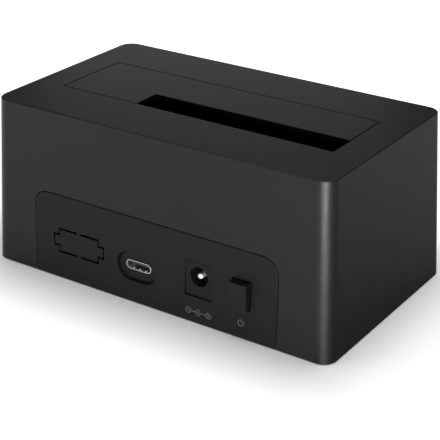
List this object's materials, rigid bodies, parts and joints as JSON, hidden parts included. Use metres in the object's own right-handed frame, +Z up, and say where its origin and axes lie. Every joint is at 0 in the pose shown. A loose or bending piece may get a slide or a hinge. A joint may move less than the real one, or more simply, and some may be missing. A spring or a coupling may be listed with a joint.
{
  "type": "hard drive docking station",
  "caption": "Desktop dock with a sprung flap over its drive bay, an always-open slot for thin drives, a data port, a power inlet and a push button at the rear.",
  "frame": {"origin": "on the surface that the feet stand on, below the middle of the whole object's box", "axes": "+X along the longest side, +Y towards the rear with its ports, +Z up out of the drive bay"},
  "size_m": [0.1316, 0.0778, 0.0578],
  "materials": {
    "housing_plastic": "fine-grained moulded plastic",
    "panel_plastic": "fine-grained moulded plastic",
    "flap_plastic": "fine-grained moulded plastic",
    "button_plastic": "fine-grained moulded plastic",
    "base_plastic": "fine-grained moulded plastic",
    "guide_plastic": "moulded plastic",
    "socket_plastic": "moulded glass-filled plastic",
    "switch_plastic": "moulded plastic",
    "stem_plastic": "natural moulded plastic",
    "foot_rubber": "moulded rubber",
    "screw_steel": "zinc plated",
    "rod_steel": "ground",
    "spring_steel": "drawn wire",
    "port_steel": "nickel plated",
    "pin_metal": "nickel plated",
    "contact_gold": "gold plated",
    "board_laminate": "glass-fibre laminate with a solder mask",
    "chip_epoxy": "moulded epoxy",
    "lead_tin": "tinned",
    "core_ferrite": "pressed ferrite",
    "can_aluminium": "drawn can",
    "ceramic_body": "fired ceramic",
    "resistor_body": "fired ceramic",
    "lamp_body": "diffusing plastic",
    "pipe_clear": "clear moulded plastic"
  },
  "bodies": {
    "dock": {"upper_housing": "housing_plastic", "rear_port_panel": "panel_plastic", "base_plate": "base_plastic", "foot_front_left": "foot_rubber", "foot_front_right": "foot_rubber", "foot_rear_left": "foot_rubber", "foot_rear_right": "foot_rubber", "base_screws": "screw_steel", "bay_guide": "guide_plastic", "guide_screws": "screw_steel", "hinge_rod": "rod_steel", "hinge_spring_left": "spring_steel", "hinge_spring_right": "spring_steel", "main_board": "board_laminate", "board_screws": "screw_steel", "drive_socket": "socket_plastic", "drive_socket_contacts": "contact_gold", "data_port_shell": "port_steel", "data_port_insulator": "socket_plastic", "data_port_contacts": "contact_gold", "dc_jack_housing": "socket_plastic", "dc_jack_pin": "pin_metal", "dc_jack_contact": "pin_metal", "switch_body": "switch_plastic", "switch_spring": "spring_steel", "status_led": "lamp_body", "light_pipe": "pipe_clear", "bridge_chip": "chip_epoxy", "firmware_chip": "chip_epoxy", "regulator_drive": "chip_epoxy", "regulator_logic": "chip_epoxy", "chip_leads": "lead_tin", "coil_drive": "core_ferrite", "coil_logic": "core_ferrite", "crystal": "lead_tin", "input_diode": "chip_epoxy", "capacitor_input": "can_aluminium", "capacitor_drive": "can_aluminium", "capacitor_logic": "can_aluminium", "ceramic_capacitors": "ceramic_body", "chip_resistors": "resistor_body"},
    "flap": {"door_flap": "flap_plastic"},
    "button": {"power_button": "button_plastic", "switch_plunger": "stem_plastic"}
  },
  "joints": [
    {"name": "flap_hinge", "type": "hinge", "parent": "dock", "child": "flap", "pos_m": [0, -0.01746, 0.0536], "axis": [-1, 0, 0], "range_deg": [0, 88], "stiffness_Nm_per_rad": 0.004, "springref_deg": -28.65, "deforming": ["hinge_spring_left", "hinge_spring_right"]},
    {"name": "power_button_press", "type": "slide", "parent": "dock", "child": "button", "axis": [0, -1, 0], "range_m": [0, 0.0018], "stiffness_N_per_m": 600, "springref_m": -0.001, "deforming": ["switch_spring"]}
  ]
}
